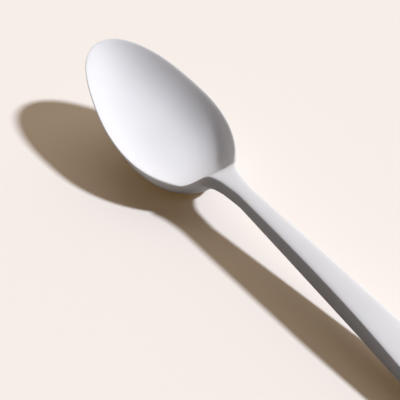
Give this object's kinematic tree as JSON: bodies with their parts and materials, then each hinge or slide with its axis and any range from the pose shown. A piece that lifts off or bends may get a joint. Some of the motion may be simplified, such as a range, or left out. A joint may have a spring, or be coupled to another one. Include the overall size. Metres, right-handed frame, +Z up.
{
  "type": "silicone spoon",
  "caption": "Table spoon moulded in one piece of matte pale silicone, with an egg-shaped bowl raised towards its tip and a slim deep neck that widens into the handle.",
  "frame": {"origin": "on the table, under the middle of the spoon's length and width", "axes": "+X along the spoon from the tip of the bowl to the end of the handle, +Y across it, +Z up out of the bowl's mouth"},
  "size_m": [0.2, 0.042, 0.0307],
  "materials": {
    "silicone": "matte pale cool white silicone with a fine dry grain"
  },
  "bodies": {
    "root": {"spoon": "silicone"}
  },
  "joints": []
}
